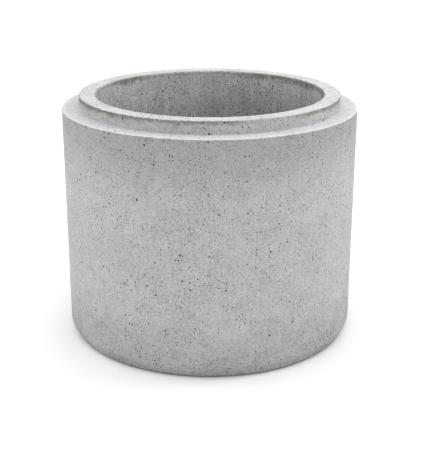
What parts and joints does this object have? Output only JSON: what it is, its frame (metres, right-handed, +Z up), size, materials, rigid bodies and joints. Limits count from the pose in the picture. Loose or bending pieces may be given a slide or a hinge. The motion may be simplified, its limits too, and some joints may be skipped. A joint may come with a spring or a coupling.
{
  "type": "concrete culvert ring",
  "caption": "Thick-walled concrete ring that stands on end, with a spigot above a flat shoulder and a matching socket in its foot, stacked or laid in line as a culvert or shaft.",
  "frame": {"origin": "on the ring's axis, in the plane of the standing face", "axes": "+Z up along the ring's axis, from the socket end to the spigot end; X and Y are equal by symmetry"},
  "size_m": [1.0398, 1.04, 0.865],
  "materials": {
    "cast_concrete": "matt grey cast concrete with small air holes, smoother and paler on the shoulder and rim"
  },
  "bodies": {
    "root": {"concrete_ring": "cast_concrete"}
  },
  "joints": []
}
